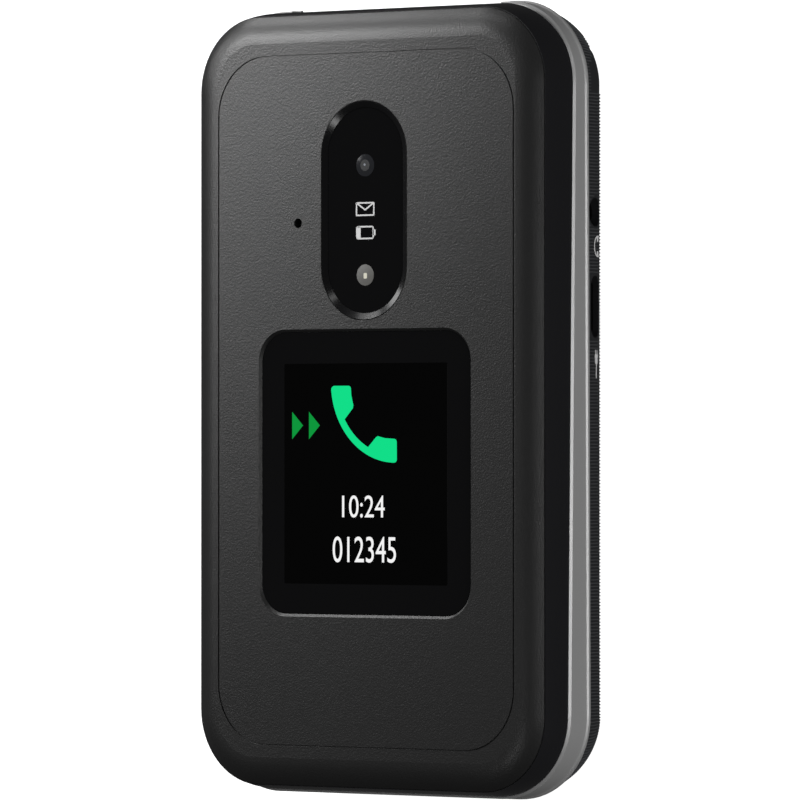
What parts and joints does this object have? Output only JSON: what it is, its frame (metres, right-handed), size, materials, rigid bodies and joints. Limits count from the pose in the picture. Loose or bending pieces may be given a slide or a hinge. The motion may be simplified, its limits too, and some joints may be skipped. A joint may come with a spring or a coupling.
{
  "type": "flip phone",
  "caption": "Closed clamshell phone with an outer display, a camera window, a silver side band, a ribbed back half and a lid that opens on a barrel hinge.",
  "frame": {"origin": "centre of the outline, on the flat back that the phone lies on", "axes": "+Z out of the outer display, +Y towards the hinge, +X towards the side with the two sockets"},
  "size_m": [0.059, 0.1043, 0.019],
  "materials": {
    "black_plastic": "fine ribbed and matt moulded black",
    "black_gloss": "polished black moulding",
    "dark_lacquer": "satin dark metallic lacquer",
    "silver_lacquer": "satin silver lacquer",
    "steel": "bright",
    "aluminium": "plain sheet",
    "board": "green solder resist",
    "silicone": "matt",
    "bumper_rubber": "matt",
    "window": "black backed, polished",
    "lens": "coated",
    "flash_lens": "clear moulding",
    "display": "dark",
    "speaker": "matt black",
    "key_black": "satin black",
    "key_green": "satin",
    "key_red": "satin"
  },
  "bodies": {
    "base": {"rear_housing": "black_plastic", "battery_cover": "black_plastic", "battery": "aluminium", "chassis_plate": "aluminium", "main_board": "board", "shield_can": "steel", "sim_holder": "steel", "keypad_board": "board", "key_domes": "steel", "key_mat": "silicone", "keypad_deck": "black_gloss", "silver_band": "silver_lacquer", "headphone_jack": "black_gloss", "charging_socket": "steel", "loudspeaker": "speaker", "base_microphone": "steel", "vibration_motor": "steel", "hinge_bush": "steel", "cam_shaft": "steel", "base_screws": "steel"},
    "lid": {"lid_inner_cover": "black_gloss", "lid_frame": "black_gloss", "lid_cover": "dark_lacquer", "camera_bezel": "black_gloss", "camera_window": "window", "camera_lens": "lens", "flash_lens": "flash_lens", "camera_module": "speaker", "outer_display_window": "window", "outer_display": "display", "main_display_window": "window", "main_display": "display", "lid_board": "board", "earpiece": "speaker", "earpiece_mesh": "steel", "lid_magnet": "steel", "lid_bumpers": "bumper_rubber", "lid_screws": "steel", "hinge_cartridge": "steel"},
    "volume_rocker_body": {"volume_rocker": "black_gloss"},
    "key_1_body": {"key_1": "key_black"},
    "key_2_body": {"key_2": "key_black"},
    "key_3_body": {"key_3": "key_black"},
    "key_4_body": {"key_4": "key_black"},
    "key_5_body": {"key_5": "key_black"},
    "key_6_body": {"key_6": "key_black"},
    "key_7_body": {"key_7": "key_black"},
    "key_8_body": {"key_8": "key_black"},
    "key_9_body": {"key_9": "key_black"},
    "key_star_body": {"key_star": "key_black"},
    "key_0_body": {"key_0": "key_black"},
    "key_hash_body": {"key_hash": "key_black"},
    "nav_ring_body": {"nav_ring": "silver_lacquer"},
    "ok_key_body": {"ok_key": "key_black"},
    "soft_key_left_body": {"soft_key_left": "key_black"},
    "soft_key_right_body": {"soft_key_right": "key_black"},
    "message_key_body": {"message_key": "key_black"},
    "camera_key_body": {"camera_key": "key_black"},
    "call_key_body": {"call_key": "key_green"},
    "end_key_body": {"end_key": "key_red"}
  },
  "joints": [
    {"name": "clamshell_hinge", "type": "hinge", "parent": "base", "child": "lid", "pos_m": [0, 0.04605, 0.0092], "axis": [-1, 0, 0], "range_deg": [0, 160]},
    {"name": "press_key_1", "type": "slide", "parent": "base", "child": "key_1_body", "axis": [0, -0.013, -0.9999], "range_m": [0, 0.0004], "stiffness_N_per_m": 4000},
    {"name": "press_key_2", "type": "slide", "parent": "base", "child": "key_2_body", "axis": [0, -0.013, -0.9999], "range_m": [0, 0.0004], "stiffness_N_per_m": 4000},
    {"name": "press_key_3", "type": "slide", "parent": "base", "child": "key_3_body", "axis": [0, -0.013, -0.9999], "range_m": [0, 0.0004], "stiffness_N_per_m": 4000},
    {"name": "press_key_4", "type": "slide", "parent": "base", "child": "key_4_body", "axis": [0, -0.013, -0.9999], "range_m": [0, 0.0004], "stiffness_N_per_m": 4000},
    {"name": "press_key_5", "type": "slide", "parent": "base", "child": "key_5_body", "axis": [0, -0.013, -0.9999], "range_m": [0, 0.0004], "stiffness_N_per_m": 4000},
    {"name": "press_key_6", "type": "slide", "parent": "base", "child": "key_6_body", "axis": [0, -0.013, -0.9999], "range_m": [0, 0.0004], "stiffness_N_per_m": 4000},
    {"name": "press_key_7", "type": "slide", "parent": "base", "child": "key_7_body", "axis": [0, -0.013, -0.9999], "range_m": [0, 0.0004], "stiffness_N_per_m": 4000},
    {"name": "press_key_8", "type": "slide", "parent": "base", "child": "key_8_body", "axis": [0, -0.013, -0.9999], "range_m": [0, 0.0004], "stiffness_N_per_m": 4000},
    {"name": "press_key_9", "type": "slide", "parent": "base", "child": "key_9_body", "axis": [0, -0.013, -0.9999], "range_m": [0, 0.0004], "stiffness_N_per_m": 4000},
    {"name": "press_key_star", "type": "slide", "parent": "base", "child": "key_star_body", "axis": [0, -0.013, -0.9999], "range_m": [0, 0.0004], "stiffness_N_per_m": 4000},
    {"name": "press_key_0", "type": "slide", "parent": "base", "child": "key_0_body", "axis": [0, -0.013, -0.9999], "range_m": [0, 0.0004], "stiffness_N_per_m": 4000},
    {"name": "press_key_hash", "type": "slide", "parent": "base", "child": "key_hash_body", "axis": [0, -0.013, -0.9999], "range_m": [0, 0.0004], "stiffness_N_per_m": 4000},
    {"name": "press_nav_ring", "type": "slide", "parent": "base", "child": "nav_ring_body", "axis": [0, -0.013, -0.9999], "range_m": [0, 0.0004], "stiffness_N_per_m": 4000},
    {"name": "press_ok_key", "type": "slide", "parent": "base", "child": "ok_key_body", "axis": [0, -0.013, -0.9999], "range_m": [0, 0.0004], "stiffness_N_per_m": 4000},
    {"name": "press_soft_key_left", "type": "slide", "parent": "base", "child": "soft_key_left_body", "axis": [0, -0.013, -0.9999], "range_m": [0, 0.0004], "stiffness_N_per_m": 4000},
    {"name": "press_soft_key_right", "type": "slide", "parent": "base", "child": "soft_key_right_body", "axis": [0, -0.013, -0.9999], "range_m": [0, 0.0004], "stiffness_N_per_m": 4000},
    {"name": "press_message_key", "type": "slide", "parent": "base", "child": "message_key_body", "axis": [0, -0.013, -0.9999], "range_m": [0, 0.0004], "stiffness_N_per_m": 4000},
    {"name": "press_camera_key", "type": "slide", "parent": "base", "child": "camera_key_body", "axis": [0, -0.013, -0.9999], "range_m": [0, 0.0004], "stiffness_N_per_m": 4000},
    {"name": "press_call_key", "type": "slide", "parent": "base", "child": "call_key_body", "axis": [0, -0.013, -0.9999], "range_m": [0, 0.0004], "stiffness_N_per_m": 4000},
    {"name": "press_end_key", "type": "slide", "parent": "base", "child": "end_key_body", "axis": [0, -0.013, -0.9999], "range_m": [0, 0.0004], "stiffness_N_per_m": 4000},
    {"name": "rock_volume_rocker", "type": "hinge", "parent": "base", "child": "volume_rocker_body", "pos_m": [-0.0249, 0.018, 0.0066], "axis": [0, 0, 1], "range_deg": [-2, 2], "stiffness_Nm_per_rad": 0.26}
  ]
}
